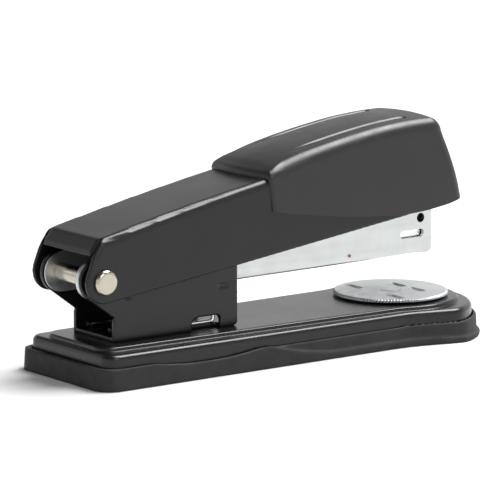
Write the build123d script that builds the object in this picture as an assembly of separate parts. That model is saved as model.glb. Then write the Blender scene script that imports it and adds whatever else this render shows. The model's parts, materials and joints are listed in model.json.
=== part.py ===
from build123d import *
import math
import os

# Half-strip desk stapler for standard 26/6 staples, in millimetres.
# Row frame: origin at the centre of the base's underside, +X to the front, +Z up.
# The arm and the magazine are drawn in frames of their own: origin on the hinge pin's
# axis, u along the piece towards the front and w across it, then tilted into place.

# Hinge
PIVOT_X = -58.7
PIVOT_Z = 26.1
ARM_TILT = 7.4
MAGAZINE_TILT = 0.4
PIN_R = 2.25
PIN_HEAD_R = 3.25
PIN_HEAD_RISE = 1.25
RUNNING_GAP = 0.05

# Rubber pad under the base
BASE_LENGTH = 128.4
PAD_HALF_WIDTH = 19.9
PAD_FLARE_X = 32.4
PAD_WIDEST_X = 47.3
PAD_WIDEST = 23.9
PAD_NOSE_R = 25.6
PAD_HEIGHT = 5.6
PAD_FLOOR = 2.0
PAD_DRAFT = 3.0
PAD_STEP = 0.6
PAD_REAR_CORNER_R = 5.4
END_INSET = 1.5

# Pressed steel base plate
PLATE_THICK = 1.0
PLATE_INSET = 1.5
LEDGE_Z = 8.75
PLATFORM_Z = 9.85
PLATFORM_REAR_HALF = 13.7
PLATFORM_FRONT_HALF = 15.9
PLATFORM_REAR_X = -60.2
PLATFORM_RING_R = 17.8

# Turning anvil
ANVIL_X = 41.0
ANVIL_R = 15.25
ANVIL_TOP_Z = 11.2
ANVIL_THICK = 0.95
POST_R = 2.0
POST_TIP_R = 1.25
BUTTON_R = 5.6
BUTTON_Z = 0.6
BUTTON_TOP_Z = 2.6
BUTTON_HOLE_R = 6.0
STAPLE_CROWN = 12.7
STAPLE_EXIT_OFFSET = 5.4

# Hinge bracket
SHEET = 1.1
BRACKET_HALF = 9.05
BRACKET_REAR_X = 4.8
BRACKET_FRONT_X = 42.9
BRACKET_TOP_Z = 30.9
BRACKET_EAR_R = 5.2
WINDOW_REAR_X = 28.6
WINDOW_FRONT_X = 37.4
WINDOW_TOP_Z = 13.2

# Magazine, rail and staples
MAG_HALF = 7.6
MAG_SHEET = 0.85
MAG_BOTTOM = -5.25
MAG_TOP = 6.6
MAG_FRONT = 107.2
MAG_EAR_R = 5.05
THROAT_REAR = 104.85
THROAT_FRONT = 105.95
WIRE = 0.5
STAPLE_HEIGHT = 6.0
STRIP_COUNT = 50
RAIL_HALF = 5.7
RAIL_REAR = 31.0
ROD_W = -2.1
ROD_R = 1.0
FOLLOWER_LENGTH = 9.0

# Arm, driver and plastic cap
ARM_HALF = 12.3
ARM_EAR_R = 5.45
ARM_BOTTOM = -5.45
ARM_FOLD = (0.7, 10.65)
ARM_LIP_END = (-1.8, 8.05)
ARM_MID_TOP = (26.0, 12.75)
ARM_BEND_TOP = (52.0, 14.15)
ARM_FRONT_TOP = (107.3, 15.9)
ARM_FOOT = (95.0, -5.45)
ARM_FRONT_BOTTOM = (112.2, -4.5)
LIP_HALF = 10.6
CAP_HALF = 13.05
CAP_HEEL = (52.5, 5.85)
CAP_CROWN = (90.0, 19.75)
CAP_BROW = (109.6, 18.1)
CAP_NOSE_FOOT = (114.6, -4.9)
CAP_FOOT_REAR = (97.5, -5.45)
CAP_SHOULDER_R = 2.6
CAP_WALL = 1.0
STUD_R = 1.5
STUD_HOLE_R = 1.6
DRIVER_RIVET_X = 101.5
BLADE_THICK = 0.5
BLADE_LEAN = 2.9
BLADE_BOTTOM = -5.3
LEAF_THICK = 0.5
LEAF_HALF = 4.5


# Placing and drawing helpers

def on_pivot(shape, tilt):
    """Turn a piece drawn in its own u, w frame nose-up by tilt and set it on the pivot."""
    return Pos(PIVOT_X, 0, PIVOT_Z) * Rot(0, -tilt, 0) * shape


def slab(outline, half_width):
    """A side-view outline drawn in X and Z, thickened evenly to both sides."""
    return extrude(Plane.XZ * outline, half_width, both=True)


def polygon(*points):
    return make_face(Polyline(*points, close=True))


def box_between(low, high):
    """A plain block from its lowest corner to its highest corner."""
    size = [b - a for a, b in zip(low, high)]
    middle = [(a + b) / 2 for a, b in zip(low, high)]
    return Pos(*middle) * Box(*size)


def cross_bar(radius, low_y, high_y, x=0.0, z=0.0):
    """A round bar along Y from low_y to high_y."""
    bar = Rot(90, 0, 0) * Cylinder(radius, high_y - low_y)
    return Pos(x, (low_y + high_y) / 2, z) * bar


def tangent_point(point, radius, side):
    """Where a line from the point touches a circle about the pivot; side is 1 or -1."""
    distance = math.hypot(*point)
    angle = math.atan2(point[1], point[0]) + side * math.acos(radius / distance)
    return (radius * math.cos(angle), radius * math.sin(angle))


def coil_spring(radius, wire_r, length, turns):
    """An open coil along +Z from 0 to length, measured over its wire."""
    pitch = (length - 2 * wire_r) / turns
    path = Pos(0, 0, wire_r) * Helix(pitch, pitch * turns, radius)
    section = Plane(path @ 0, z_dir=path % 0) * Circle(wire_r)
    return sweep(section, path)


def wire_form(points, wire_r, bend_r):
    """Round wire bent along straight runs."""
    path = FilletPolyline(*points, radius=bend_r)
    section = Plane(path @ 0, z_dir=path % 0) * Circle(wire_r)
    return sweep(section, path)


def edges_along(shape, axis, test):
    return [e for e in shape.edges().filter_by(axis) if test(e.center())]


# Base

def base_outline(inset):
    """Plan outline of the base, drawn inset from the pad's foot, more so at its ends."""
    half = PAD_HALF_WIDTH - inset
    rear = -BASE_LENGTH / 2 + END_INSET * inset
    nose = BASE_LENGTH / 2 - END_INSET * inset
    nose_r = PAD_NOSE_R - inset
    nose_x = nose - nose_r
    widest_x = PAD_WIDEST_X - inset / 4
    widest = math.sqrt(nose_r ** 2 - (widest_x - nose_x) ** 2)
    sides = Polyline(
        (widest_x, widest), (PAD_FLARE_X, half), (rear, half),
        (rear, -half), (PAD_FLARE_X, -half), (widest_x, -widest),
    )
    front = ThreePointArc((widest_x, -widest), (nose, 0), (widest_x, widest))
    face = make_face(sides + front)
    flare = [v for v in face.vertices() if abs(v.X - PAD_FLARE_X) < 0.1]
    face = fillet(flare, 40)
    shoulder = [v for v in face.vertices() if abs(v.X - widest_x) < 0.1]
    face = fillet(shoulder, 5.5 - inset)
    rear_corners = [v for v in face.vertices() if abs(v.X - rear) < 0.1]
    return fillet(rear_corners, PAD_REAR_CORNER_R - inset)


def platform_outline(inset):
    """Plan outline of the raised platform, round about the anvil at its front."""
    rear = PLATFORM_REAR_X + inset
    rear_half = PLATFORM_REAR_HALF - inset
    front_half = PLATFORM_FRONT_HALF - inset
    body = polygon(
        (rear, rear_half), (rear, -rear_half),
        (ANVIL_X - 10, -front_half), (ANVIL_X - 10, front_half),
    )
    corners = [v for v in body.vertices() if abs(v.X - rear) < 0.1]
    body = fillet(corners, 4.5 - inset)
    return body + Pos(ANVIL_X, 0) * Circle(PLATFORM_RING_R - inset)


def pad_lower_region():
    """Side-view band that holds the pad's wider foot: full height at the rear, then a
    crease that falls away towards the front."""
    rear = -BASE_LENGTH / 2 - 1
    nose = BASE_LENGTH / 2 + 1
    crease_x = -14.2
    fall = ThreePointArc((crease_x + 2, 5.5), (-1.6, 2.9), (14.4, 1.9))
    lines = Polyline((rear, -1), (rear, 8), (crease_x - 2, 8), (crease_x + 2, 5.5))
    run = Polyline((14.4, 1.9), (38, 1.8), (nose, 0.9), (nose, -1), (rear, -1))
    return make_face(lines + fall + run)


def pad_scallop():
    """Side-view cut that dips the pad's rim between two low peaks."""
    dip = ThreePointArc((-48.1, PAD_HEIGHT), (-35.1, 4.45), (-14.8, PAD_HEIGHT + 0.3))
    rest = Polyline((-14.8, PAD_HEIGHT + 0.3), (-14.8, 9), (-48.1, 9), (-48.1, PAD_HEIGHT))
    return make_face(dip + rest)


def base_pad():
    """Rubber shoe: a floor, a rim round the plate and a hole for the anvil's button."""
    width = PAD_WIDEST + 2
    foot = extrude(base_outline(0), PAD_HEIGHT, taper=PAD_DRAFT)
    foot &= slab(pad_lower_region(), width)
    body = extrude(base_outline(PAD_STEP), PAD_HEIGHT, taper=PAD_DRAFT)
    rim = body.edges().group_by(Axis.Z)[-1]
    body = fillet(rim, 0.35)
    pad = foot + body - slab(pad_scallop(), width)
    pocket = extrude(base_outline(PLATE_INSET - RUNNING_GAP), PAD_HEIGHT + 1)
    pad -= Pos(0, 0, PAD_FLOOR) * pocket
    return pad - Pos(ANVIL_X, 0, 0) * Cylinder(BUTTON_HOLE_R, 3 * PAD_FLOOR)


def base_plate():
    """Pressed steel shell: drafted skirt, narrow ledge and raised platform."""
    skirt = Pos(0, 0, PAD_FLOOR) * extrude(
        base_outline(PLATE_INSET), LEDGE_Z - PAD_FLOOR, taper=2.5)
    skirt = fillet(skirt.edges().group_by(Axis.Z)[-1], 1.1)
    platform = Pos(0, 0, LEDGE_Z - 1) * extrude(
        platform_outline(0), PLATFORM_Z - LEDGE_Z + 1)
    platform = fillet(platform.edges().group_by(Axis.Z)[-1], 0.45)
    hollow = Pos(0, 0, PAD_FLOOR - 1) * extrude(
        base_outline(PLATE_INSET + PLATE_THICK),
        LEDGE_Z - PLATE_THICK - PAD_FLOOR + 1, taper=2.5)
    hollow_top = Pos(0, 0, PAD_FLOOR) * extrude(
        platform_outline(PLATE_THICK), PLATFORM_Z - PLATE_THICK - PAD_FLOOR)
    plate = skirt + platform - hollow - hollow_top
    plate -= Pos(ANVIL_X, 0, LEDGE_Z) * Cylinder(POST_R + 1.5, 4)
    for x in (PIVOT_X + 4.5, PIVOT_X + 45.5):
        for side in (-1, 1):
            y = side * (BRACKET_HALF + 0.1)
            plate -= Pos(x, y, PLATFORM_Z) * Box(3.0, 0.9, 3.0)
    for x in bracket_rivet_xs():
        plate -= Pos(x, 0, PLATFORM_Z) * Cylinder(1.6, 4)
    return plate


# Hinge bracket

def bracket_rivet_xs():
    return (PIVOT_X + 12.0, PIVOT_X + 24.0)


def bracket_outline():
    """Side view of one wall, in the row frame: ear, sloping rear edge and front edge."""
    corner = (BRACKET_REAR_X + 0.5, -10.4)
    floor = PLATFORM_Z - PIVOT_Z
    top = BRACKET_TOP_Z - PIVOT_Z
    wall = polygon(
        tangent_point(corner, BRACKET_EAR_R, -1), corner, (BRACKET_REAR_X, -10.8),
        (BRACKET_REAR_X, floor), (BRACKET_FRONT_X, floor), (BRACKET_FRONT_X, top - 1),
        (8, top + 0.6), tangent_point((8, top + 0.6), BRACKET_EAR_R, 1), (0, 0),
    )
    front_top = [v for v in wall.vertices() if v.X > BRACKET_FRONT_X - 1 and v.Y > 0]
    wall = fillet(front_top, 3)
    front_foot = [v for v in wall.vertices() if v.X > BRACKET_FRONT_X - 1 and v.Y < -10]
    wall = fillet(front_foot, 1.2)
    return Pos(PIVOT_X, PIVOT_Z) * (wall + Circle(BRACKET_EAR_R))


def bracket_window():
    """Arched opening at the foot of each wall."""
    width = WINDOW_FRONT_X - WINDOW_REAR_X
    height = WINDOW_TOP_Z - PLATFORM_Z + 1
    face = Pos(width / 2, height / 2) * Rectangle(width, height)
    rear_top = [v for v in face.vertices() if v.X < 1 and v.Y > 1]
    face = fillet(rear_top, 2.0)
    front_top = [v for v in face.vertices() if v.X > width - 1 and v.Y > 1]
    face = fillet(front_top, 1.3)
    return Pos(PIVOT_X + WINDOW_REAR_X, PLATFORM_Z - 1) * face


def hinge_bracket():
    """Folded steel U that carries the pin: floor, two walls with ears and windows."""
    bracket = slab(bracket_outline(), BRACKET_HALF)
    inner = BRACKET_HALF - SHEET
    low = (PIVOT_X - 10, -inner, PLATFORM_Z + SHEET)
    high = (PIVOT_X + BRACKET_FRONT_X + 1, inner, BRACKET_TOP_Z + 5)
    bracket -= box_between(low, high)
    bracket -= cross_bar(PIN_R + 0.02, -20, 20, PIVOT_X, PIVOT_Z)
    window = slab(bracket_window(), BRACKET_HALF + 1)
    low = (PIVOT_X, -inner + SHEET, PLATFORM_Z)
    window -= box_between(low, (0, inner - SHEET, 20))
    bracket -= window
    for side in (-1, 1):
        y = side * BRACKET_HALF
        bracket -= Pos(PIVOT_X + 38.4, y, 20.6) * Box(3.0, 0.5, 1.5)
        bracket -= Pos(PIVOT_X + 9.1, y, 20.9) * Box(2.3, 0.5, 1.1)
    for x in bracket_rivet_xs():
        bracket -= Pos(x, 0, PLATFORM_Z) * Cylinder(1.6, 4)
    return bracket


def bracket_rivets():
    """Two rivets that hold the bracket's floor down on the base plate."""
    rivets = []
    for x in bracket_rivet_xs():
        low = PLATFORM_Z - PLATE_THICK
        shank = Pos(x, 0, low + 1.05) * Cylinder(1.55, 2.1)
        head = Pos(x, 0, PLATFORM_Z + SHEET + 0.4) * Cylinder(2.7, 0.8)
        head = fillet(head.edges().group_by(Axis.Z)[-1], 0.6)
        tail = Pos(x, 0, low - 0.35) * Cylinder(2.4, 0.7)
        rivets.append(shank + head + tail)
    return Compound(rivets)


def hinge_pin():
    """Pin across the bracket with a domed head on each end."""
    head_base = ARM_HALF + RUNNING_GAP
    pin = cross_bar(PIN_R, -head_base, head_base)
    for side in (-1, 1):
        dome = Cylinder(PIN_HEAD_R, PIN_HEAD_RISE)
        dome = fillet(dome.edges().group_by(Axis.Z)[-1], 1.0)
        middle = side * (head_base + PIN_HEAD_RISE / 2)
        pin += Pos(0, middle, 0) * Rot(-90 * side, 0, 0) * dome
    return Pos(PIVOT_X, 0, PIVOT_Z) * pin


def return_spring():
    """Hairpin wire spring that holds the magazine up off the bracket's floor."""
    wire_r = 0.5
    y = BRACKET_HALF - SHEET - 0.35 - wire_r
    floor = PLATFORM_Z + SHEET + wire_r + 0.02
    top = PIVOT_Z + MAG_BOTTOM - wire_r - 0.1
    nose = PIVOT_X + WINDOW_FRONT_X - 0.8
    half = [(PIVOT_X + 9, floor), (nose, floor), (nose - 0.3, floor + 2.0), (PIVOT_X + 15, top)]
    near = [(x, -y, z) for x, z in half]
    far = [(x, y, z) for x, z in reversed(half)]
    return wire_form(near + far, wire_r, 0.85)


# Turning anvil

def groove_cutter(x, y):
    """Curved trough that turns one staple leg."""
    length = 5.2
    depth = 0.5
    sweep_r = (length ** 2 / 4 + depth ** 2) / (2 * depth)
    trough = Rot(0, 90, 0) * Cylinder(sweep_r, 1.3)
    return Pos(x, y, ANVIL_TOP_Z + sweep_r - depth) * trough


def anvil_disc():
    """Round anvil with a pair of grooves for clinching in and a pair for clinching out."""
    middle = ANVIL_TOP_Z - ANVIL_THICK / 2
    disc = Pos(0, 0, middle) * Cylinder(ANVIL_R, ANVIL_THICK)
    disc = chamfer(disc.edges().group_by(Axis.Z)[-1], 0.2)
    disc = chamfer(disc.edges().group_by(Axis.Z)[0], 0.2)
    for side in (-1, 1):
        disc -= groove_cutter(STAPLE_EXIT_OFFSET, side * (STAPLE_CROWN / 2 - 2.3))
        disc -= groove_cutter(-STAPLE_EXIT_OFFSET, side * (STAPLE_CROWN / 2 + 2.5))
    disc -= Pos(0, 0, middle) * Cylinder(POST_R, 3)
    disc -= Pos(0, 0, ANVIL_TOP_Z) * Cylinder(POST_R + 0.7, 0.5)
    return Pos(ANVIL_X, 0, 0) * disc


def anvil_post():
    """Stepped post riveted into the disc, with a peened foot under the button."""
    head = Pos(0, 0, ANVIL_TOP_Z - 0.1) * Cylinder(POST_R + 0.65, 0.3)
    shank = Pos(0, 0, (ANVIL_TOP_Z + BUTTON_TOP_Z) / 2 + 0.2) * Cylinder(
        POST_R, ANVIL_TOP_Z - BUTTON_TOP_Z - 0.6)
    tip_low = BUTTON_Z + 0.2
    tip = Pos(0, 0, (tip_low + BUTTON_TOP_Z + 1) / 2) * Cylinder(
        POST_TIP_R, BUTTON_TOP_Z + 1 - tip_low)
    foot = Pos(0, 0, tip_low + 0.25) * Cylinder(POST_R, 0.5)
    return Pos(ANVIL_X, 0, 0) * (head + shank + tip + foot)


def anvil_bush():
    """Flanged collar set in the plate that guides the post."""
    flange_low = PLATFORM_Z - PLATE_THICK - 0.8
    tube = Pos(0, 0, (flange_low + PLATFORM_Z) / 2) * Cylinder(
        POST_R + 1.45, PLATFORM_Z - flange_low)
    flange = Pos(0, 0, flange_low + 0.4) * Cylinder(POST_R + 3, 0.8)
    bore = Pos(0, 0, PLATFORM_Z - 2) * Cylinder(POST_R + RUNNING_GAP, 6)
    return Pos(ANVIL_X, 0, 0) * (tube + flange - bore)


def anvil_button():
    """Push button in the pad's hole, pressed from below to free the anvil."""
    height = BUTTON_TOP_Z - BUTTON_Z
    button = Pos(0, 0, BUTTON_Z + height / 2) * Cylinder(BUTTON_R, height)
    button = fillet(button.edges().group_by(Axis.Z)[0], 0.5)
    button -= Pos(0, 0, BUTTON_Z) * Cylinder(POST_R + 0.4, 1.5)
    button -= Pos(0, 0, BUTTON_Z) * Cylinder(POST_TIP_R + RUNNING_GAP, 8)
    return Pos(ANVIL_X, 0, 0) * button


def anvil_washer():
    """Flat washer between the button and its spring."""
    washer = Pos(0, 0, BUTTON_TOP_Z + 0.2) * Cylinder(4.6, 0.4)
    washer -= Pos(0, 0, BUTTON_TOP_Z) * Cylinder(POST_TIP_R + RUNNING_GAP, 3)
    return Pos(ANVIL_X, 0, 0) * washer


def anvil_spring():
    """Coil that pulls the disc down by pushing the button away from the plate."""
    low = BUTTON_TOP_Z + 0.45
    high = PLATFORM_Z - PLATE_THICK - 0.85
    return Pos(ANVIL_X, 0, low) * coil_spring(3.2, 0.35, high - low, 3.5)


# Magazine

def magazine_outline():
    """Side view of one magazine wall in its own frame."""
    chamfer_run = 1.2
    wall = polygon(
        (0, 0), (0, -MAG_EAR_R), (8, MAG_BOTTOM), (MAG_FRONT - chamfer_run, MAG_BOTTOM),
        (MAG_FRONT, MAG_BOTTOM + 0.8), (MAG_FRONT, MAG_TOP), (6, MAG_TOP),
        tangent_point((6, MAG_TOP), MAG_EAR_R, 1),
    )
    return wall + Circle(MAG_EAR_R)


def stadium(x, z, length, height):
    return Pos(x, z) * SlotOverall(length, height)


def magazine_channel():
    """Zinc plated U that holds the rail: floor, two walls with ears, and sight slots."""
    channel = slab(magazine_outline(), MAG_HALF)
    foot = edges_along(channel, Axis.X, lambda c: abs(c.Z - MAG_BOTTOM) < 0.1)
    channel = fillet(foot, 0.7)
    inner = MAG_HALF - MAG_SHEET
    floor = MAG_BOTTOM + MAG_SHEET
    channel -= box_between((-10, -inner, floor), (MAG_FRONT + 1, inner, MAG_TOP + 1))
    channel -= box_between((-10, -inner, MAG_BOTTOM - 1), (9, inner, floor + 1))
    channel -= box_between((THROAT_REAR, -inner, MAG_BOTTOM - 1), (MAG_FRONT + 1, inner, 0))
    channel -= cross_bar(PIN_R + RUNNING_GAP, -20, 20)
    channel -= slab(stadium(100.7, 0.2, 7.9, 2.1), 20)
    channel -= cross_bar(1.25, -20, 20, 103.6, 4.2)
    channel -= cross_bar(0.45, -20, 20, 79.9, -3.3)
    return on_pivot(channel, MAGAZINE_TILT)


def magazine_nose():
    """Front plate that closes the throat; its foot ends level with the magazine."""
    inner = MAG_HALF - MAG_SHEET - 0.02
    nose = box_between((THROAT_FRONT, -inner, MAG_BOTTOM + 0.1), (MAG_FRONT - 0.1, inner, MAG_TOP))
    foot = edges_along(nose, Axis.Y, lambda c: c.X > MAG_FRONT - 1 and c.Z < 0)
    return on_pivot(chamfer(foot, 0.6), MAGAZINE_TILT)


def rail_top():
    return MAG_BOTTOM + MAG_SHEET + 0.3 + STAPLE_HEIGHT - WIRE


def staple_rail():
    """Inverted U that the staples straddle, slotted along its top for the follower."""
    floor = MAG_BOTTOM + MAG_SHEET
    rail = box_between((RAIL_REAR, -RAIL_HALF, floor), (THROAT_REAR, RAIL_HALF, rail_top()))
    long_top = edges_along(rail, Axis.X, lambda c: c.Z > 0)
    rail = fillet(long_top, 0.5)
    inner = RAIL_HALF - MAG_SHEET
    front = THROAT_REAR - 2.0
    low = (RAIL_REAR + 1.5, -inner, floor - 1)
    rail -= box_between(low, (front - 1, inner, rail_top() - MAG_SHEET))
    notch_low = (front, -RAIL_HALF - 1, floor - 1)
    rail -= box_between(notch_low, (THROAT_REAR + 1, RAIL_HALF + 1, rail_top() - MAG_SHEET))
    slot_low = (RAIL_REAR + 6, -1.4, 0)
    rail -= box_between(slot_low, (front - 4, 1.4, rail_top() + 1))
    rod = Pos((RAIL_REAR + THROAT_REAR) / 2, 0, ROD_W) * Rot(0, 90, 0) * Cylinder(ROD_R, 90)
    return on_pivot(rail - rod, MAGAZINE_TILT)


def rail_rivets():
    """A small rivet flush in each wall."""
    rivets = []
    for side in (-1, 1):
        low, high = sorted((side * (MAG_HALF - MAG_SHEET), side * (MAG_HALF + 0.15)))
        rivets.append(cross_bar(0.44, low, high, 79.9, -3.3))
    return on_pivot(Compound(rivets), MAGAZINE_TILT)


def follower_rod():
    """Guide rod inside the rail for the follower and its spring."""
    length = THROAT_REAR - 2.1 - RAIL_REAR
    rod = Pos(RAIL_REAR + length / 2, 0, ROD_W) * Rot(0, 90, 0) * Cylinder(ROD_R, length)
    return on_pivot(rod, MAGAZINE_TILT)


def magazine_bridge():
    """Cross plate behind the rail, folded down against the walls, that the lifting
    spring rests on."""
    inner = MAG_HALF - MAG_SHEET - 0.02
    top = 4.4
    bridge = box_between((13, -inner, -1.5), (28, inner, top))
    long_top = edges_along(bridge, Axis.X, lambda c: c.Z > 0)
    bridge = fillet(long_top, 0.8)
    bridge -= box_between((12, -inner + MAG_SHEET, -2), (29, inner - MAG_SHEET, top - MAG_SHEET))
    return on_pivot(bridge, MAGAZINE_TILT)


def strip_rear():
    return THROAT_REAR - RUNNING_GAP - STRIP_COUNT * WIRE


def staple_strip():
    """Glued strip of staples astride the rail, a fine groove between neighbours."""
    top = rail_top() + 0.02 + WIRE
    half = STAPLE_CROWN / 2
    low = (strip_rear(), -half, top - STAPLE_HEIGHT)
    front = THROAT_REAR - RUNNING_GAP
    strip = box_between(low, (front, half, top))
    long_top = edges_along(strip, Axis.X, lambda c: c.Z > 0)
    strip = fillet(long_top, 0.4)
    inside = (strip_rear() - 1, -half + WIRE, top - STAPLE_HEIGHT - 1)
    strip -= box_between(inside, (front + 1, half - WIRE, top - WIRE))
    for i in range(1, STRIP_COUNT):
        x = strip_rear() + i * WIRE
        strip -= Pos(x, 0, top) * Rot(0, 45, 0) * Box(0.12, STAPLE_CROWN, 0.12)
    return on_pivot(strip, MAGAZINE_TILT)


# Follower

def follower():
    """Pusher that straddles the rail behind the staples and hooks over the rod."""
    front = strip_rear() - RUNNING_GAP
    rear = front - FOLLOWER_LENGTH
    half = STAPLE_CROWN / 2 - 0.05
    top = rail_top() + 0.9
    low = MAG_BOTTOM + MAG_SHEET + 0.4
    block = box_between((rear, -half, low), (front, half, top))
    long_top = edges_along(block, Axis.X, lambda c: c.Z > 0)
    block = fillet(long_top, 0.5)
    gap = RAIL_HALF + 0.08
    block -= box_between((rear - 1, -gap, low - 1), (front + 1, gap, rail_top() + 0.08))
    neck = box_between((rear + 2, -1.1, ROD_W), (front - 2, 1.1, top - 0.2))
    collar = Pos((rear + front) / 2, 0, ROD_W) * Rot(0, 90, 0) * Cylinder(
        2.0, FOLLOWER_LENGTH - 4)
    grip = box_between((rear, -half + 2, top - 0.2), (rear + 1.2, half - 2, top + 1.6))
    bore = Pos((rear + front) / 2, 0, ROD_W) * Rot(0, 90, 0) * Cylinder(
        ROD_R + RUNNING_GAP, 40)
    return on_pivot(block + neck + collar + grip - bore, MAGAZINE_TILT)


def follower_spring():
    """Long coil on the rod that pushes the follower forward."""
    rear = RAIL_REAR + 1.6
    length = strip_rear() - FOLLOWER_LENGTH + 2 - RUNNING_GAP - rear - 0.1
    coil = coil_spring(1.55, 0.25, length, 18)
    return on_pivot(Pos(rear, 0, ROD_W) * Rot(0, 90, 0) * coil, MAGAZINE_TILT)


# Arm

def arm_outline():
    """Side view of the arm: hinge ear, sloping rear edge, rising back and front end."""
    back = ThreePointArc(ARM_FOLD, ARM_MID_TOP, ARM_BEND_TOP)
    rest = Polyline(
        ARM_BEND_TOP, ARM_FRONT_TOP, ARM_FRONT_BOTTOM, ARM_FOOT, (0, ARM_BOTTOM), (0, 0),
        tangent_point(ARM_LIP_END, ARM_EAR_R, 1), ARM_LIP_END, ARM_FOLD,
    )
    return make_face(back + rest) + Circle(ARM_EAR_R)


def arm_hollow():
    """Side view of the arm's inside, one sheet below the back and behind the rear lip."""
    fold = (ARM_FOLD[0] + 0.45, ARM_FOLD[1] - SHEET)
    lip_end = (ARM_LIP_END[0] + 1.1, ARM_LIP_END[1] - 0.3)
    mid = (ARM_MID_TOP[0], ARM_MID_TOP[1] - SHEET)
    bend = (ARM_BEND_TOP[0], ARM_BEND_TOP[1] - SHEET)
    front = (ARM_FRONT_TOP[0] + 6, ARM_FRONT_TOP[1] - SHEET + 0.2)
    back = ThreePointArc(fold, mid, bend)
    rest = Polyline(
        bend, front, (front[0], -20), (-20, -20), (-20, lip_end[1] - 1.2),
        (lip_end[0] - 0.8, lip_end[1] - 0.8), lip_end, fold,
    )
    return make_face(back + rest)


def arm_inside(u):
    """Height of the underside of the arm's back, ahead of the bend under the cap."""
    slope = (ARM_FRONT_TOP[1] - ARM_BEND_TOP[1]) / (ARM_FRONT_TOP[0] - ARM_BEND_TOP[0])
    return ARM_BEND_TOP[1] - SHEET + slope * (u - ARM_BEND_TOP[0])


def cap_studs():
    """Place along the arm and top height of each stud under the cap's crown."""
    return ((68.0, 17.6), (92.0, 18.9))


def driver_rivet_ys():
    return (-3.6, 3.6)


def arm_channel():
    """Folded steel handle: back, two walls with hinge ears and a bent-down rear lip."""
    arm = slab(arm_outline(), ARM_HALF)
    back = [e for e in arm.edges() if e.center().Z > 9 and abs(e.center().Y) > ARM_HALF - 0.1
            and e.bounding_box().size.X > 20]
    arm = fillet(back, 1.9)
    fold = edges_along(arm, Axis.Y, lambda c: abs(c.X - ARM_FOLD[0]) < 0.3 and c.Z > 9)
    arm = fillet(fold, 1.4)
    arm -= slab(arm_hollow(), ARM_HALF - SHEET)
    for side in (-1, 1):
        low, high = sorted((side * LIP_HALF, side * (ARM_HALF - SHEET)))
        arm -= box_between((-8, low, 5), (1.4, high, 14))
    arm -= cross_bar(PIN_R + RUNNING_GAP, -20, 20)
    for u, _ in cap_studs():
        arm -= Pos(u, 0, 14) * Cylinder(STUD_HOLE_R, 12)
    for y in driver_rivet_ys():
        arm -= Pos(DRIVER_RIVET_X, y, 14) * Cylinder(1.1, 12)
    return on_pivot(arm, ARM_TILT)


def cap_outline():
    """Side view of the cap: rounded heel, low crown, sloping nose and rising lower edge."""
    heel_top = (CAP_HEEL[0], 16.0)
    lines = Line(CAP_HEEL, heel_top)
    back = ThreePointArc(heel_top, (71.0, 18.85), CAP_CROWN)
    brow = ThreePointArc(CAP_CROWN, (100.5, 19.4), CAP_BROW)
    nose = ThreePointArc(CAP_BROW, (112.8, 7.0), CAP_NOSE_FOOT)
    foot = Line(CAP_NOSE_FOOT, CAP_FOOT_REAR)
    edge = ThreePointArc(CAP_FOOT_REAR, (74.5, -0.75), CAP_HEEL)
    face = make_face(lines + back + brow + nose + foot + edge)
    rounds = ((CAP_HEEL, 0.8), (heel_top, 1.5), (CAP_BROW, 3.6), (CAP_NOSE_FOOT, 1.2))
    for corner, radius in rounds:
        found = [v for v in face.vertices() if math.dist((v.X, v.Y), corner) < 0.1]
        face = fillet(found, radius)
    return face


def cap_hollow():
    """Side view of the cap's inside: one wall below its crown and behind its nose."""
    back = ThreePointArc((57.0, 15.8), (72.0, 17.45), (92.0, 18.3))
    brow = ThreePointArc((92.0, 18.3), (100.0, 17.9), (107.6, 16.7))
    rest = Polyline((107.6, 16.7), (113.3, -9.0), (57.0, -9.0), (57.0, 15.8))
    return make_face(back + brow + rest)


def cap_seat():
    """Side view of the space that the steel arm fills inside the cap."""
    gap = 0.08
    run = ARM_FRONT_BOTTOM[0] - ARM_FRONT_TOP[0]
    drop = ARM_FRONT_TOP[1] - ARM_FRONT_BOTTOM[1]
    low = -20
    front = ARM_FRONT_BOTTOM[0] + gap + run / drop * (ARM_FRONT_BOTTOM[1] - low)
    return polygon(
        (40, low), (40, ARM_BEND_TOP[1]), (ARM_BEND_TOP[0], ARM_BEND_TOP[1] + gap),
        (ARM_FRONT_TOP[0] + gap, ARM_FRONT_TOP[1] + gap), (front, low),
    )


def front_cap():
    """Moulded thumb cap over the front half of the arm, with two studs inside."""
    cap = slab(cap_outline(), CAP_HALF)
    shoulders = [e for e in cap.edges() if abs(e.center().Y) > CAP_HALF - 0.1
                 and e.center().Z > 15.0]
    cap = fillet(shoulders, CAP_SHOULDER_R)
    cap -= slab(cap_seat(), ARM_HALF + RUNNING_GAP)
    cap -= slab(cap_hollow(), ARM_HALF - CAP_WALL)
    for u, high in cap_studs():
        low = arm_inside(u) - CAP_WALL
        cap += Pos(u, 0, (low + high) / 2) * Cylinder(STUD_R, high - low)
    return on_pivot(cap, ARM_TILT)


def cap_retainers():
    """Two push-on washers that grip the cap's studs under the arm's back."""
    rings = []
    for u, _ in cap_studs():
        ring = Pos(u, 0, arm_inside(u) - 0.4) * (Cylinder(3.4, 0.5) - Cylinder(STUD_R, 2))
        rings.append(ring)
    return on_pivot(Compound(rings), ARM_TILT)


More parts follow.
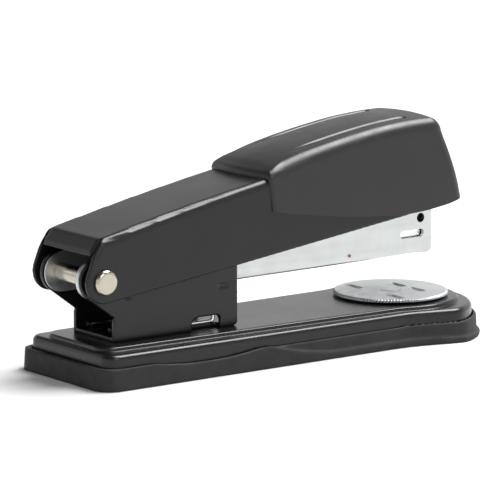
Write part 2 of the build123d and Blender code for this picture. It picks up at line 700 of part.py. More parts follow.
def driver_blade():
    """Flat blade that pushes one staple out, with a flange riveted under the back."""
    lean = math.radians(BLADE_LEAN)
    foot_u = 105.4 * math.cos(lean) + BLADE_BOTTOM * math.sin(lean)
    foot_w = -105.4 * math.sin(lean) + BLADE_BOTTOM * math.cos(lean)
    half = STAPLE_CROWN / 2 - 0.2
    length = 13.9 - foot_w
    blade = box_between((-BLADE_THICK / 2, -half, 0), (BLADE_THICK / 2, half, length))
    blade = Pos(foot_u, 0, foot_w) * Rot(0, BLADE_LEAN, 0) * blade
    flange = box_between((97, -half, 13.4), (foot_u + 1.3, half, 14.2))
    for y in driver_rivet_ys():
        flange -= Pos(DRIVER_RIVET_X, y, 14) * Cylinder(1.1, 4)
    return on_pivot(blade + flange, ARM_TILT)


def driver_rivets():
    """Two rivets that fix the driver's flange to the arm."""
    rivets = []
    for y in driver_rivet_ys():
        shank = Pos(DRIVER_RIVET_X, y, 14.65) * Cylinder(1.05, 3.1)
        head = Pos(DRIVER_RIVET_X, y, 13.1) * Cylinder(2.0, 0.6)
        tail = Pos(DRIVER_RIVET_X, y, 16.1) * Cylinder(1.7, 0.4)
        rivets.append(shank + head + tail)
    return on_pivot(Compound(rivets), ARM_TILT)


def lift_spring():
    """Leaf spring between the magazine's bridge and the arm's back; it lifts the arm."""
    foot = (14.5, 3.2)
    heel = (25.0, 1.9)
    tip = (54.5, arm_inside(54.5) - LEAF_THICK / 2 - 0.1)
    path = FilletPolyline(foot, heel, tip, (61.0, tip[1] - 1.2), radius=4.0)
    leaf = slab(trace(path, LEAF_THICK), LEAF_HALF)
    return on_pivot(leaf, ARM_TILT)


NODES = {
    "base_pad": base_pad,
    "base_plate": base_plate,
    "hinge_bracket": hinge_bracket,
    "bracket_rivets": bracket_rivets,
    "hinge_pin": hinge_pin,
    "return_spring": return_spring,
    "anvil_disc": anvil_disc,
    "anvil_post": anvil_post,
    "anvil_bush": anvil_bush,
    "anvil_button": anvil_button,
    "anvil_washer": anvil_washer,
    "anvil_spring": anvil_spring,
    "magazine_channel": magazine_channel,
    "magazine_nose": magazine_nose,
    "staple_rail": staple_rail,
    "rail_rivets": rail_rivets,
    "follower_rod": follower_rod,
    "magazine_bridge": magazine_bridge,
    "staple_strip": staple_strip,
    "follower": follower,
    "follower_spring": follower_spring,
    "arm_channel": arm_channel,
    "front_cap": front_cap,
    "cap_retainers": cap_retainers,
    "driver_blade": driver_blade,
    "driver_rivets": driver_rivets,
    "lift_spring": lift_spring,
}

os.makedirs("parts", exist_ok=True)
for name, make in NODES.items():
    export_step(make(), f"parts/{name}.step")
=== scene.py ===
import json
import math

import bmesh
import bpy
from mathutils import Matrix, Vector


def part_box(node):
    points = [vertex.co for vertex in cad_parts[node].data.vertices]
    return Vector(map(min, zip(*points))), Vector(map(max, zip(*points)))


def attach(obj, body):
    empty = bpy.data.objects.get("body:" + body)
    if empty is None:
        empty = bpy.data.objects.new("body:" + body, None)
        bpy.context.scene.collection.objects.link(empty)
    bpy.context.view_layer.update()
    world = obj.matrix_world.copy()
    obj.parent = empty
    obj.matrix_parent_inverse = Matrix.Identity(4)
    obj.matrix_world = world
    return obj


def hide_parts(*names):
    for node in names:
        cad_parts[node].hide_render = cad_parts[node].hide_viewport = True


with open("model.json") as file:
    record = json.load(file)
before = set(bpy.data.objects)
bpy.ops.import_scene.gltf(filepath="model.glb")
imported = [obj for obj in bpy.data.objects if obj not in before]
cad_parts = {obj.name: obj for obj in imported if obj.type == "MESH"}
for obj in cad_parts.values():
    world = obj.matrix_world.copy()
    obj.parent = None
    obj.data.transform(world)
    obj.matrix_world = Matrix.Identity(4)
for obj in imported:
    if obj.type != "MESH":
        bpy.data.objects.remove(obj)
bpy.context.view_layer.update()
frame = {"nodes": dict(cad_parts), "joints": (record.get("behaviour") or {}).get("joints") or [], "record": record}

scene = bpy.context.scene
nodes = frame["nodes"]
MM = 0.001


# Materials

class Shader:
    """A principled material with helpers for its procedural textures."""

    def __init__(self, name, colour, metallic, rough, specular=0.5):
        self.mat = bpy.data.materials.new(name)
        self.mat.use_nodes = True
        self.tree = self.mat.node_tree
        self.bsdf = next(n for n in self.tree.nodes if n.type == "BSDF_PRINCIPLED")
        self.set("Base Color", (*colour, 1.0))
        self.set("Metallic", metallic)
        self.set("Roughness", rough)
        self.set("Specular IOR Level", specular)
        self.coords = self.tree.nodes.new("ShaderNodeTexCoord").outputs["Object"]

    def set(self, socket, value):
        self.bsdf.inputs[socket].default_value = value

    def node(self, kind):
        return self.tree.nodes.new(kind)

    def link(self, a, b):
        self.tree.links.new(a, b)

    def noise(self, size, detail=3.0, stretch=(1, 1, 1)):
        """Noise whose features are about this many metres across."""
        mapping = self.node("ShaderNodeMapping")
        mapping.inputs["Scale"].default_value = [s / size for s in stretch]
        self.link(self.coords, mapping.inputs["Vector"])
        tex = self.node("ShaderNodeTexNoise")
        tex.inputs["Scale"].default_value = 1.0
        tex.inputs["Detail"].default_value = detail
        self.link(mapping.outputs[0], tex.inputs["Vector"])
        return tex.outputs["Fac"]

    def spread(self, source, low, high):
        """The middle of a noise's range, stretched to run from low to high."""
        spread = self.node("ShaderNodeMapRange")
        self.link(source, spread.inputs["Value"])
        spread.inputs["From Min"].default_value = 0.3
        spread.inputs["From Max"].default_value = 0.7
        spread.inputs["To Min"].default_value = low
        spread.inputs["To Max"].default_value = high
        return spread.outputs[0]

    def roughness(self, source, low, high):
        self.link(self.spread(source, low, high), self.bsdf.inputs["Roughness"])

    def tint(self, source, low, high):
        """Colour that runs between two colours with the texture."""
        mix = self.node("ShaderNodeMix")
        mix.data_type = "RGBA"
        self.link(self.spread(source, 0, 1), mix.inputs["Factor"])
        mix.inputs[6].default_value = (*low, 1)
        mix.inputs[7].default_value = (*high, 1)
        self.link(mix.outputs[2], self.bsdf.inputs["Base Color"])

    def bump(self, source, height, strength=1.0):
        bump = self.node("ShaderNodeBump")
        bump.inputs["Distance"].default_value = height
        bump.inputs["Strength"].default_value = strength
        self.link(source, bump.inputs["Height"])
        self.link(bump.outputs[0], self.bsdf.inputs["Normal"])


def shade(colour, factor):
    return tuple(min(c * factor, 1.0) for c in colour)


def paint(name, colour, rough, grain, grain_height, specular):
    """Powder coat: fine orange peel, with slow changes in gloss and tone."""
    s = Shader(name, colour, 0.0, rough, specular)
    s.roughness(s.noise(0.015, 2), rough - 0.015, rough + 0.02)
    s.tint(s.noise(0.012, 4), shade(colour, 0.88), shade(colour, 1.15))
    s.bump(s.noise(grain, 2), grain_height, 0.3)
    return s.mat


def rubber(name, colour):
    """Matt rubber with a fine moulded grain."""
    s = Shader(name, colour, 0.0, 0.7, 0.35)
    s.roughness(s.noise(0.003, 5), 0.62, 0.78)
    s.tint(s.noise(0.009, 5), shade(colour, 0.85), shade(colour, 1.25))
    s.bump(s.noise(0.00035, 3), 0.00003)
    return s.mat


def plastic(name, colour, rough):
    """Moulded plastic with a fine satin grain."""
    s = Shader(name, colour, 0.0, rough)
    s.roughness(s.noise(0.005, 4), rough - 0.04, rough + 0.05)
    s.tint(s.noise(0.01, 3), shade(colour, 0.9), shade(colour, 1.12))
    s.bump(s.noise(0.0003, 2), 0.000008)
    return s.mat


STREAK = 0.0006
STREAK_HEIGHT = 0.000004
ALONG = (0.06, 1, 1)
UPRIGHT = (1, 1, 0.06)


def metal(name, colour, rough, stretch=(1, 1, 1)):
    """Plated or bare metal with fine streaks, drawn out along the stretched axis."""
    s = Shader(name, colour, 1.0, rough)
    s.roughness(s.noise(STREAK * 3, 4, stretch), rough - 0.08, rough + 0.08)
    s.tint(s.noise(0.006, 4), shade(colour, 0.93), shade(colour, 1.03))
    s.bump(s.noise(STREAK, 3, stretch), STREAK_HEIGHT)
    return s.mat


made = {
    "arm_paint": paint("arm_paint", (0.0055, 0.0055, 0.0058), 0.34, 0.0006, 0.000003, 0.37),
    "base_paint": paint("base_paint", (0.0050, 0.0050, 0.0053), 0.27, 0.0008, 0.000001, 0.40),
    "cap_plastic": plastic("cap_plastic", (0.0060, 0.0060, 0.0066), 0.42),
    "pad_rubber": rubber("pad_rubber", (0.015, 0.015, 0.0155)),
    "zinc_sheet": metal("zinc_sheet", (0.58, 0.60, 0.595), 0.36, ALONG),
    "anvil_zinc": metal("anvil_zinc", (0.56, 0.58, 0.585), 0.36),
    "pin_nickel": metal("pin_nickel", (0.50, 0.465, 0.385), 0.20),
    "spring_steel": metal("spring_steel", (0.80, 0.81, 0.83), 0.18, ALONG),
    "staple_wire": metal("staple_wire", (0.78, 0.79, 0.81), 0.25),
    "copper_rivet": metal("copper_rivet", (0.30, 0.13, 0.08), 0.35),
    "follower_plastic": plastic("follower_plastic", (0.02, 0.02, 0.021), 0.45),
    "blade_steel": metal("blade_steel", (0.60, 0.61, 0.63), 0.30, UPRIGHT),
}

for sub in frame["record"]["subparts"]:
    obj = nodes[sub["node"]]
    obj.data.materials.clear()
    obj.data.materials.append(made[sub["material_slot"]])


# Pressed and moulded edges: the CAD corners are rounded over with modifiers

# node: (grid size in metres, relaxing passes)
SOFT_EDGES = {
    "base_pad": (0.00040, 3),
    "arm_channel": (0.00028, 12),
    "hinge_bracket": (0.00026, 3),
}


def soften(node, voxel, passes):
    """Rebuild a node's surface on a fine grid and relax it, which rounds each corner."""
    grid = nodes[node].modifiers.new("grid", "REMESH")
    grid.mode = "VOXEL"
    grid.voxel_size = voxel
    grid.use_smooth_shade = True
    relax = nodes[node].modifiers.new("relax", "SMOOTH")
    relax.factor = 0.5
    relax.iterations = passes


for node, (voxel, passes) in SOFT_EDGES.items():
    soften(node, voxel, passes)


# Pieces drawn in the arm's own frame: u along the arm, w up from it, origin on the pin

joints = {j["name"]: j for j in frame["joints"]}
PIVOT = Vector(joints["arm_press"]["pos_m"])
ARM_TILT = math.radians(7.4)


def on_arm(u, y, w):
    """A point of the arm's own frame, in millimetres, as a row-frame point in metres."""
    x = u * math.cos(ARM_TILT) - w * math.sin(ARM_TILT)
    z = u * math.sin(ARM_TILT) + w * math.cos(ARM_TILT)
    return PIVOT + Vector((x, y, z)) * MM


def curve(points):
    """A smooth function through a few (x, value) points."""
    steps = [(b[1] - a[1]) / (b[0] - a[0]) for a, b in zip(points, points[1:])]
    inner = [0.0 if a * b <= 0 else 2 * a * b / (a + b) for a, b in zip(steps, steps[1:])]
    slopes = [steps[0], *inner, steps[-1]]

    def value(x):
        if x <= points[0][0]:
            return points[0][1]
        for i, (a, b) in enumerate(zip(points, points[1:])):
            if x <= b[0]:
                h = b[0] - a[0]
                t = (x - a[0]) / h
                rise = t * t * (3 - 2 * t)
                return ((1 - rise) * a[1] + rise * b[1]
                        + (t ** 3 - 2 * t * t + t) * h * slopes[i]
                        + (t ** 3 - t * t) * h * slopes[i + 1])
        return points[-1][1]

    return value


def smooth(t):
    """Ease from 0 to 1 as t goes from 0 to 1, flat beyond."""
    t = min(max(t, 0.0), 1.0)
    return t * t * (3 - 2 * t)


def ring_faces(columns):
    """Quads between neighbouring columns of points, which close into a ring."""
    height = len(columns[0])
    faces = []
    for a in range(len(columns)):
        b = (a + 1) % len(columns)
        for k in range(height - 1):
            faces.append((a * height + k, b * height + k, b * height + k + 1, a * height + k + 1))
    return faces


def mesh_piece(name, verts, faces, body, slot):
    """A smooth-shaded piece in its slot's material, riding one body."""
    mesh = bpy.data.meshes.new(name)
    mesh.from_pydata(verts, [], faces)
    bm = bmesh.new()
    bm.from_mesh(mesh)
    bmesh.ops.remove_doubles(bm, verts=bm.verts, dist=1e-7)
    bmesh.ops.recalc_face_normals(bm, faces=bm.faces)
    bm.to_mesh(mesh)
    bm.free()
    for face in mesh.polygons:
        face.use_smooth = True
    obj = bpy.data.objects.new(name, mesh)
    scene.collection.objects.link(obj)
    mesh.materials.append(made[slot])
    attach(obj, body)
    return obj


SHEET_CREASE = 40
ANVIL_CREASE = 32


def crisp_edges(piece, degrees):
    """Keep the edges sharper than this angle unsmoothed."""
    split = piece.modifiers.new("edges", "EDGE_SPLIT")
    split.split_angle = math.radians(degrees)


# Thumb cap

CAP_HALF = 13.05
CAP_DRAFT = 0.15
CAP_DRAFT_RISE = 18
CAP_HEEL = 52.4
CAP_BOW = 1.3
CAP_CORNER = 1.2
CAP_FRONT_CORNER = 3.0
CAP_CROWN = 0.75
CAP_WALL = 0.7
HEEL_FOOT = 13.0
HEEL_ROUND = 1.4
HEEL_CORNER_ROUND = 1.8
SIDE_ROUND = 2.8
SIDE_GROWTH = 12
NOSE_ROUND = 3.7
NOSE_BOW = 0.7
SPINE_START = CAP_HEEL + 3.5
SPINE_MID = 98.0
SPINE_RUN = 6.5
GROOVE_Y = 7.6
GROOVE_HALF = 1.0
GROOVE_WALL = 0.28
GROOVE_DEPTH = 0.38
GROOVE_START = 60
GROOVE_FADE = 16
GROOVE_END = 100.3

# Each curve is (u, w), but the nose is (w, u) and the round is (u, radius)
cap_nose = curve([
    (-6.0, 114.6), (0.2, 113.9), (5.8, 112.7), (11.6, 111.0), (15.0, 109.9), (18.5, 108.9)])
cap_crest = curve([
    (50.0, 15.4), (52.5, 16.2), (56.3, 17.4), (64.7, 18.75), (73.0, 19.4),
    (81.3, 19.8), (89.5, 19.95), (98.0, 19.65), (106.0, 18.9), (112.0, 17.9)])
cap_foot = curve([
    (52.2, 5.95), (54.4, 5.13), (60.5, 3.15), (66.8, 1.29), (73.1, -0.49), (79.5, -2.09),
    (84.3, -3.23), (93.7, -4.92), (100.8, -5.31), (105.3, -5.26), (109.3, -4.87),
    (112.9, -4.4), (115.0, -4.3)])
cap_round = curve([(52.0, 3.3), (65.0, 3.0), (80.0, 2.8), (112.0, 2.8)])


def cap_roof(u, y):
    """Height of the cap's top: crowned across, with a shallow groove near each side."""
    height = cap_crest(u) - CAP_CROWN * (y / CAP_HALF) ** 2
    beyond = max(0.0, u - GROOVE_END)
    away = math.hypot(beyond, abs(y) - GROOVE_Y)
    channel = 1 - smooth((away - GROOVE_HALF + GROOVE_WALL) / (2 * GROOVE_WALL))
    return height - GROOVE_DEPTH * channel * smooth((u - GROOVE_START) / GROOVE_FADE)


def cap_stations():
    """Stations round half of the cap's plan, from the middle of its heel to its nose."""
    counts = (("heel", 22), ("heel_corner", 8), ("side", 150), ("nose_corner", 14), ("nose", 26))
    return [(part, i / count) for part, count in counts for i in range(count)] + [("nose", 1.0)]


def cap_plan(station, inset, w):
    """Plan point of a station, inset from the cap's outside at height w."""
    part, t = station
    half = CAP_HALF - CAP_DRAFT * smooth(w / CAP_DRAFT_RISE) - inset
    heel = CAP_HEEL + inset
    nose = cap_nose(w) - inset
    rear_r = max(CAP_CORNER - inset, 0.3)
    front_r = max(CAP_FRONT_CORNER - inset, 0.4)
    if part == "heel":
        y = -(half - rear_r) * t
        return heel - CAP_BOW * (1 - t * t), y
    if part == "heel_corner":
        a = t * math.pi / 2
        return heel + rear_r * (1 - math.cos(a)), -(half - rear_r) - rear_r * math.sin(a)
    if part == "side":
        return heel + rear_r + (nose - front_r - heel - rear_r) * t, -half
    if part == "nose_corner":
        a = t * math.pi / 2
        return nose - front_r * (1 - math.sin(a)), -(half - front_r) - front_r * math.cos(a)
    return nose + NOSE_BOW * (1 - (1 - t) ** 2), -(half - front_r) * (1 - t)


def cap_round_at(station, u):
    """Radius of the cap's top edge at a station."""
    part, t = station
    if part == "heel":
        return HEEL_ROUND
    if part == "heel_corner":
        return HEEL_ROUND + (HEEL_CORNER_ROUND - HEEL_ROUND) * smooth(t)
    if part == "side":
        return HEEL_CORNER_ROUND + (cap_round(u) - HEEL_CORNER_ROUND) * smooth(t * SIDE_GROWTH)
    if part == "nose_corner":
        return SIDE_ROUND + (NOSE_ROUND - SIDE_ROUND) * smooth(t)
    return NOSE_ROUND


def cap_spine(index, first_nose, last):
    """Point of the middle line that a station's roof strip runs to."""
    if index <= first_nose:
        return SPINE_START + (SPINE_MID - SPINE_START) * index / first_nose
    return SPINE_MID + SPINE_RUN * (index - first_nose) / (last - first_nose)


def cap_column(station, end_u):
    """Points up the wall, over the rounded edge and across the roof to the middle line."""
    walls, rounds, roofs = 14, 12, 60
    u, y = cap_plan(station, 0, 10)
    radius = cap_round_at(station, u)
    shoulder = cap_roof(u, y) - radius
    part, t = station
    behind_arm = part == "heel" or (part == "heel_corner" and t < 0.3)
    low = HEEL_FOOT if behind_arm else cap_foot(u)
    column = []
    for i in range(walls):
        w = low + (shoulder - low) * i / walls
        column.append((*cap_plan(station, 0, w), w))
    for i in range(rounds + 1):
        a = math.pi / 2 * i / rounds
        u, y = cap_plan(station, radius * (1 - math.cos(a)), shoulder)
        column.append((u, y, cap_roof(u, y) - radius * (1 - math.sin(a))))
    start_u, start_y = u, y
    for i in range(1, roofs + 1):
        u = start_u + (end_u - start_u) * i / roofs
        y = start_y * (1 - i / roofs)
        column.append((u, y, cap_roof(u, y)))
    return column


def thumb_cap():
    """Moulded hood: walls, rounded shoulders, crowned roof with its two grooves."""
    stations = cap_stations()
    last = len(stations) - 1
    first_nose = next(i for i, (part, _) in enumerate(stations) if part == "nose_corner")
    near = [cap_column(station, cap_spine(index, first_nose, last))
            for index, station in enumerate(stations)]
    far = [[(u, -y, w) for u, y, w in column] for column in reversed(near[1:-1])]
    columns = near + far
    verts = [on_arm(u, y, w) for column in columns for u, y, w in column]
    cap = mesh_piece("thumb_cap", verts, ring_faces(columns), "arm", "cap_plastic")
    skin = cap.modifiers.new("wall", "SOLIDIFY")
    skin.thickness = CAP_WALL * MM
    skin.offset = -1
    crisp_edges(cap, SHEET_CREASE)
    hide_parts("front_cap")


thumb_cap()


# Leaf spring drawn at its pressed height, so it stays under the arm's back in every pose

LEAF_HALF = 4.5
LEAF_THICK = 0.5
LEAF_START = 14.5
LEAF_END = 60.5
leaf_line = curve([
    (LEAF_START, 3.2), (20.0, 2.4), (25.0, 2.0), (32.0, 3.3), (54.5, 8.6), (LEAF_END, 7.6)])


def leaf_spring():
    """Thin bent strip with a shallow curl at its tip."""
    steps = 60
    section = ((-LEAF_HALF, 0), (LEAF_HALF, 0), (LEAF_HALF, LEAF_THICK), (-LEAF_HALF, LEAF_THICK))
    verts = []
    for i in range(steps + 1):
        u = LEAF_START + (LEAF_END - LEAF_START) * i / steps
        w = leaf_line(u)
        for y, rise in section:
            verts.append(on_arm(u, y, w + rise - LEAF_THICK / 2))
    faces = [(0, 1, 2, 3), tuple(4 * steps + k for k in (3, 2, 1, 0))]
    for i in range(steps):
        for k in range(4):
            j = (k + 1) % 4
            faces.append((4 * i + k, 4 * i + j, 4 * i + 4 + j, 4 * i + 4 + k))
    leaf = mesh_piece("leaf_strip", verts, faces, "lifter", "spring_steel")
    crisp_edges(leaf, SHEET_CREASE)
    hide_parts("lift_spring")


leaf_spring()


# Pressed base plate: skirt, rolled shoulder, ledge, rounded step and platform

PLATE_LOW, PLATE_HIGH = (Vector(corner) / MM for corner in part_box("base_plate"))
ANVIL_LOW, ANVIL_HIGH = (Vector(corner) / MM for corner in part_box("anvil_disc"))
ANVIL_MID = (ANVIL_LOW + ANVIL_HIGH) / 2
PLATFORM_RISE = 1.1
LEDGE_Z = PLATE_HIGH.z - PLATFORM_RISE
SHOULDER_R = 1.4
STEP_ROUND = 0.7
STEP_ROOT = 0.35
SKIRT_SLOPE = math.tan(math.radians(2.5))
SKIRT_HALF = 18.4
SKIRT_FLARE_X = 32.4
SKIRT_NOSE_R = 24.1
SKIRT_WIDEST_X = 46.9
SKIRT_CORNER = 3.9
SKIRT_BLEND = 1.9
EASE_START = 22
EASE_NOSE = 3
EASE_RUN = 8
PLATFORM_REAR = -60.2
PLATFORM_REAR_HALF = 13.7
PLATFORM_FRONT_HALF = 15.9
PLATFORM_BLEND = 1.5
PLATFORM_NECK = 10
PLATFORM_CORNER = 4.5
PLATFORM_RING = 17.8
SPINE_REAR = -52.0


def skirt_half_outline():
    """Near half of the skirt's foot, from the middle of its rear to its nose."""
    rear, nose = PLATE_LOW.x, PLATE_HIGH.x
    nose_x = nose - SKIRT_NOSE_R
    widest = math.sqrt(SKIRT_NOSE_R ** 2 - (SKIRT_WIDEST_X - nose_x) ** 2)
    corners = [(rear, 0.0), (rear, SKIRT_HALF - SKIRT_CORNER)]
    for i in range(1, 17):
        a = math.pi / 2 * i / 16
        corners.append((rear + SKIRT_CORNER * (1 - math.cos(a)),
                        SKIRT_HALF - SKIRT_CORNER * (1 - math.sin(a))))
    corners += [(SKIRT_FLARE_X, SKIRT_HALF), (SKIRT_WIDEST_X, widest)]
    start = math.atan2(widest, SKIRT_WIDEST_X - nose_x)
    for i in range(1, 65):
        a = start * (1 - i / 64)
        corners.append((nose_x + SKIRT_NOSE_R * math.cos(a), SKIRT_NOSE_R * math.sin(a)))
    return corners


def resample(points, step):
    """Points spaced evenly along a polyline."""
    lengths = [0.0]
    for a, b in zip(points, points[1:]):
        lengths.append(lengths[-1] + math.dist(a, b))
    count = round(lengths[-1] / step)
    result, k = [], 0
    for i in range(count + 1):
        along = lengths[-1] * i / count
        while k < len(points) - 2 and lengths[k + 1] < along:
            k += 1
        t = (along - lengths[k]) / (lengths[k + 1] - lengths[k])
        a, b = points[k], points[k + 1]
        result.append((a[0] + (b[0] - a[0]) * t, a[1] + (b[1] - a[1]) * t))
    return result


def skirt_loop(step=0.4):
    """Whole outline of the skirt's foot, eased where its sides flare out to the nose."""
    half = resample(skirt_half_outline(), step)
    loop = half + [(x, -y) for x, y in reversed(half[1:-1])]
    count = len(loop)
    reach = int(3 * SKIRT_BLEND / step)
    weights = [math.exp(-0.5 * (k * step / SKIRT_BLEND) ** 2) for k in range(-reach, reach + 1)]
    total = sum(weights)
    soft = []
    for i, (x, y) in enumerate(loop):
        blend = smooth((x - EASE_START) / EASE_RUN)
        blend *= smooth((PLATE_HIGH.x - EASE_NOSE - x) / EASE_RUN)
        near = [loop[(i + k) % count] for k in range(-reach, reach + 1)]
        mean_x = sum(w * q[0] for w, q in zip(weights, near)) / total
        mean_y = sum(w * q[1] for w, q in zip(weights, near)) / total
        soft.append((x + (mean_x - x) * blend, y + (mean_y - y) * blend))
    return soft


def platform_depth(x, y):
    """Distance inside the platform's edge, which is round about the anvil in front."""
    y = abs(y)
    run = ANVIL_MID.x - PLATFORM_NECK - PLATFORM_REAR
    slope = (PLATFORM_FRONT_HALF - PLATFORM_REAR_HALF) / run
    side = PLATFORM_REAR_HALF + slope * (x - PLATFORM_REAR) - y
    rear = x - PLATFORM_REAR
    if side < PLATFORM_CORNER and rear < PLATFORM_CORNER:
        body = PLATFORM_CORNER - math.hypot(PLATFORM_CORNER - side, PLATFORM_CORNER - rear)
    else:
        body = min(side, rear)
    body = min(body, ANVIL_MID.x - x)
    ring = PLATFORM_RING - math.hypot(x - ANVIL_MID.x, y)
    mix = max(PLATFORM_BLEND - abs(body - ring), 0) / PLATFORM_BLEND
    return max(body, ring) + mix * mix * PLATFORM_BLEND / 4


def step_distance(inner, run):
    """Distance along a line from the shoulder at which the platform's edge is met."""
    low, high = 0.0, 0.6
    for _ in range(30):
        mid = (low + high) / 2
        q = inner + run * mid
        if platform_depth(q.x, q.y) < 0:
            low = mid
        else:
            high = mid
    return low * run.length


def plate_top(step_at, length):
    """Section (distance, z) over the ledge, up the rounded step and across the platform."""
    profile = [((step_at - STEP_ROOT) * k / 4, LEDGE_Z) for k in range(1, 5)]
    for k in range(1, 6):
        a = math.pi / 2 * k / 5
        profile.append((step_at - STEP_ROOT * (1 - math.sin(a)),
                        LEDGE_Z + STEP_ROOT * (1 - math.cos(a))))
    for k in range(9):
        a = math.pi / 2 * k / 8
        profile.append((step_at + STEP_ROUND * (1 - math.cos(a)),
                        PLATE_HIGH.z - STEP_ROUND * (1 - math.sin(a))))
    flat = step_at + STEP_ROUND
    for k in range(1, 13):
        profile.append((flat + (length - flat) * k / 12, PLATE_HIGH.z))
    return profile


def plate_column(edge, inward):
    """Points up the skirt, over its shoulder and in to the plate's middle line."""
    shoulder_low = LEDGE_Z - SHOULDER_R
    inner_inset = SKIRT_SLOPE * (shoulder_low - PLATE_LOW.z) + SHOULDER_R
    column = []
    for k in range(9):
        z = PLATE_LOW.z + (shoulder_low - PLATE_LOW.z) * k / 8
        q = edge + inward * SKIRT_SLOPE * (z - PLATE_LOW.z)
        column.append((q.x, q.y, z))
    for k in range(1, 11):
        a = math.pi / 2 * k / 10
        q = edge + inward * (inner_inset - SHOULDER_R * math.cos(a))
        column.append((q.x, q.y, shoulder_low + SHOULDER_R * math.sin(a)))
    inner = edge + inward * inner_inset
    spine = Vector((min(max(inner.x, SPINE_REAR), ANVIL_MID.x), 0.0))
    run = spine - inner
    way = run.normalized()
    for distance, z in plate_top(step_distance(inner, run), run.length):
        q = inner + way * distance
        column.append((q.x, q.y, z))
    return column


def pressed_plate():
    """Shell of the base, drawn from its outline in to its middle line."""
    loop = skirt_loop()
    columns = []
    for i, (x, y) in enumerate(loop):
        before, after = loop[i - 1], loop[(i + 1) % len(loop)]
        along = Vector((after[0] - before[0], after[1] - before[1])).normalized()
        inward = Vector((along.y, -along.x))
        if inward.dot(Vector((-x * 0.1, -y))) < 0:
            inward = -inward
        columns.append(plate_column(Vector((x, y)), inward))
    verts = [Vector(v) * MM for column in columns for v in column]
    plate = mesh_piece("pressed_plate", verts, ring_faces(columns), "base", "base_paint")
    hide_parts("base_plate")


pressed_plate()


# Anvil: knurled rim, four clinching grooves and a recess for its post

TEETH = 112
TOOTH_DEPTH = 0.5
RIM_CHAMFER = 0.22
CLINCH_LENGTH = 6.4
CLINCH_WIDTH = 1.9
CLINCH_DEPTH = 0.5
CLINCH_BURR = 0.06
CLINCH_IN = (5.4, 4.05)
CLINCH_OUT = (5.4, 8.85)
BORE_R = 2.0
RECESS_R = 2.7
RECESS_DEPTH = 0.3
RECESS_BLEND = 0.4
UNDERSIDE_MARGIN = 0.6
FACE_MARGIN = 0.05


def anvil_height(x, y):
    """Height of the anvil's top against its rim, at a point measured from its post."""
    past = math.hypot(x, y) - RECESS_R + RECESS_BLEND / 2
    height = -RECESS_DEPTH * (1 - smooth(past / RECESS_BLEND))
    in_x, in_y = CLINCH_IN
    out_x, out_y = CLINCH_OUT
    for gx, gy in ((in_x, in_y), (in_x, -in_y), (-out_x, out_y), (-out_x, -out_y)):
        across = abs(x - gx) / (CLINCH_WIDTH / 2)
        along = abs(y - gy) / (CLINCH_LENGTH / 2)
        if across < 1.7 and along < 1.4:
            bowl = max(0.0, 1 - along ** 2)
            wall = 1 - smooth((across - 0.75) / 0.4)
            lip = smooth((across - 0.8) / 0.3) * (1 - smooth((across - 1.15) / 0.5))
            height += -CLINCH_DEPTH * bowl * wall + CLINCH_BURR * lip * bowl
    return height


def anvil_top():
    """Disc with a bore, made of rings: some are toothed, some carry the grooves."""
    radius = (ANVIL_HIGH.x - ANVIL_LOW.x) / 2
    low, high = ANVIL_LOW.z, ANVIL_HIGH.z
    around = TEETH * 4
    tooth = (0.0, 0.4, 1.0, 0.4)
    face_r = radius - TOOTH_DEPTH - FACE_MARGIN
    tops = 62
    rings = [(BORE_R, low, "plain"), (radius - UNDERSIDE_MARGIN, low, "plain"),
             (face_r, low, "plain"),
             (radius, low + RIM_CHAMFER, "toothed"), (radius, high - RIM_CHAMFER, "toothed"),
             (face_r, high, "plain")]
    rings += [(face_r + (BORE_R - face_r) * k / tops, high, "grooved")
              for k in range(1, tops + 1)]
    verts = []
    for r, z, kind in rings:
        for i in range(around):
            a = 2 * math.pi * i / around
            out = r - TOOTH_DEPTH * tooth[i % 4] if kind == "toothed" else r
            x, y = out * math.cos(a), out * math.sin(a)
            rise = anvil_height(x, y) if kind == "grooved" else 0.0
            verts.append(Vector((ANVIL_MID.x + x, ANVIL_MID.y + y, z + rise)) * MM)
    faces = []
    for k in range(len(rings)):
        other = (k + 1) % len(rings)
        for i in range(around):
            j = (i + 1) % around
            faces.append((k * around + i, k * around + j,
                          other * around + j, other * around + i))
    disc = mesh_piece("anvil_plate", verts, faces, "anvil", "anvil_zinc")
    crisp_edges(disc, ANVIL_CREASE)
    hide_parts("anvil_disc")


anvil_top()


# Floor, light and camera

FLOOR_HALF = 12.0
FLOOR_TONE, FLOOR_DARK, FLOOR_LIGHT = 0.63, 0.625, 0.635
KEY_PLACE, KEY_SIZE, KEY_POWER = (0.58, -0.05, 1.2), 0.85, 38.0
FRONT_PLACE, FRONT_SIZE, FRONT_POWER = (-0.1, -1.0, 0.75), 0.50, 3.5
# (height of the direction, brightness): bright near the horizon, dim overhead
SKY = ((0.0, 0.86), (0.20, 0.86), (0.32, 1.25), (0.42, 0.62), (0.52, 0.14), (0.75, 0.08))
EYE = Vector((-0.5908, -0.7863, 0.2047))
TARGET = Vector((-0.0052, 0.0, 0.0267))
LENS = 280


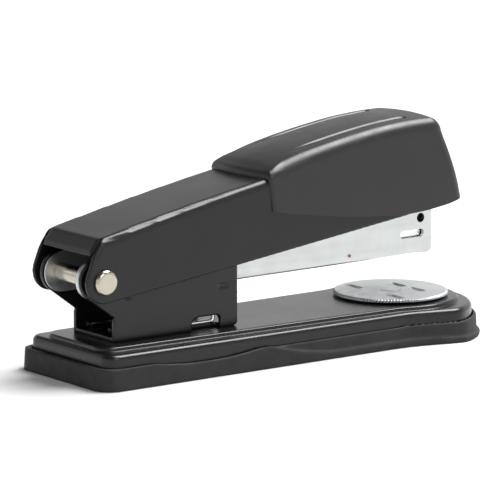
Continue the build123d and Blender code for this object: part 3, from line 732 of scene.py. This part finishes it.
def paper_floor():
    """Plain pale sheet under the object."""
    mesh = bpy.data.meshes.new("floor")
    bm = bmesh.new()
    bmesh.ops.create_grid(bm, x_segments=8, y_segments=8, size=FLOOR_HALF)
    bm.to_mesh(mesh)
    bm.free()
    floor = bpy.data.objects.new("floor", mesh)
    scene.collection.objects.link(floor)
    s = Shader("floor_paper", (FLOOR_TONE,) * 3, 0.0, 0.9, 0.1)
    s.tint(s.noise(0.3, 2), (FLOOR_DARK,) * 3, (FLOOR_LIGHT,) * 3)
    mesh.materials.append(s.mat)


def sky():
    """Surroundings that change only with height."""
    world = bpy.data.worlds.new("studio")
    scene.world = world
    world.use_nodes = True
    tree = world.node_tree
    coords = tree.nodes.new("ShaderNodeTexCoord")
    split = tree.nodes.new("ShaderNodeSeparateXYZ")
    ramp = tree.nodes.new("ShaderNodeValToRGB")
    tree.links.new(coords.outputs["Generated"], split.inputs[0])
    tree.links.new(split.outputs["Z"], ramp.inputs[0])
    tree.links.new(ramp.outputs[0], tree.nodes["Background"].inputs["Color"])
    tree.nodes["Background"].inputs["Strength"].default_value = 1.0
    stops = ramp.color_ramp.elements
    for position, level in SKY:
        stop = stops.new(position)
        stop.color = (level, level, level, 1)
    for extra in [e for e in stops if e.position > SKY[-1][0] + 0.01]:
        stops.remove(extra)


def softbox(name, place, size, power):
    """Square light aimed at the object."""
    data = bpy.data.lights.new(name, "AREA")
    data.shape = "SQUARE"
    data.size = size
    data.energy = power
    light = bpy.data.objects.new(name, data)
    light.location = place
    light.rotation_euler = Vector(place).to_track_quat("Z", "Y").to_euler()
    scene.collection.objects.link(light)


def camera():
    """Long lens from behind the near side, a little above the object."""
    data = bpy.data.cameras.new("camera")
    data.lens = LENS
    data.sensor_width = 36
    data.clip_start = 0.05
    data.clip_end = 50
    obj = bpy.data.objects.new("camera", data)
    obj.location = EYE
    obj.rotation_euler = (TARGET - EYE).to_track_quat("-Z", "Y").to_euler()
    scene.collection.objects.link(obj)
    scene.camera = obj


paper_floor()
sky()
softbox("key_softbox", KEY_PLACE, KEY_SIZE, KEY_POWER)
softbox("front_softbox", FRONT_PLACE, FRONT_SIZE, FRONT_POWER)
camera()
scene.view_settings.view_transform = "Standard"
